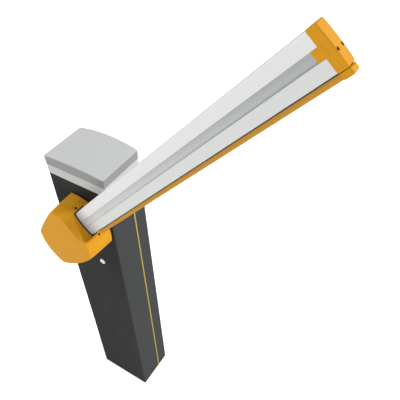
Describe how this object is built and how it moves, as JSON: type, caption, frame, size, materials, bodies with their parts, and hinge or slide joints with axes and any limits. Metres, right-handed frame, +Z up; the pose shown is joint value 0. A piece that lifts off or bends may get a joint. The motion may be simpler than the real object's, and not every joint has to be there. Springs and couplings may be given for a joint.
{
  "type": "boom barrier",
  "caption": "Boom barrier: slim sheet-steel cabinet with a crowned lid and a short white boom in an orange hub that swings up.",
  "frame": {"origin": "middle of the base plate's underside, on the ground", "axes": "+Z up; +X across the front face, towards the side on which the boom closes; -Y is the front, on which the boom turns"},
  "size_m": [0.706, 0.209, 1.4894],
  "materials": {
    "galvanised_steel": "hot-dip galvanised, dull",
    "anthracite_paint": "anthracite powder coat, fine texture, satin",
    "yellow_trim": "yellow extruded plastic, satin",
    "white_band": "white moulded plastic, satin",
    "grey_lid": "light grey moulded plastic, satin",
    "bearing_casting": "painted black",
    "white_lock": "white plastic, glossy",
    "lock_metal": "polished",
    "shaft_steel": "turned",
    "cast_aluminium": "as cast",
    "orange_cover": "orange moulded plastic, satin gloss",
    "dark_screws": "blackened",
    "black_rubber": "matt",
    "white_boom": "white powder coat, smooth",
    "orange_rubber": "orange rubber, matt",
    "orange_plastic": "orange moulded plastic, satin gloss"
  },
  "bodies": {
    "cabinet": {"base_plate": "galvanised_steel", "front_housing": "anthracite_paint", "rear_door": "anthracite_paint", "seam_trim_right": "yellow_trim", "seam_trim_left": "yellow_trim", "top_frame": "galvanised_steel", "crown_band": "white_band", "cap_lid": "grey_lid", "shaft_bearing": "bearing_casting", "release_lock": "white_lock", "door_lock": "lock_metal"},
    "boom_arm": {"output_shaft": "shaft_steel", "clamp_casting": "cast_aluminium", "hub_cover": "orange_cover", "clamp_cover": "orange_cover", "clamp_screw_upper": "dark_screws", "clamp_screw_lower": "dark_screws", "root_seal": "black_rubber", "boom_profile": "white_boom", "rubber_bumper": "orange_rubber", "end_cap": "orange_plastic", "end_cap_screw_front": "dark_screws", "end_cap_screw_back": "dark_screws", "bumper_end_cap": "orange_rubber"}
  },
  "joints": [
    {"name": "boom_swing", "type": "hinge", "parent": "cabinet", "child": "boom_arm", "pos_m": [0, -0.065, 0.8187], "axis": [0, -1, 0], "range_deg": [-48.5, 41.5]}
  ]
}
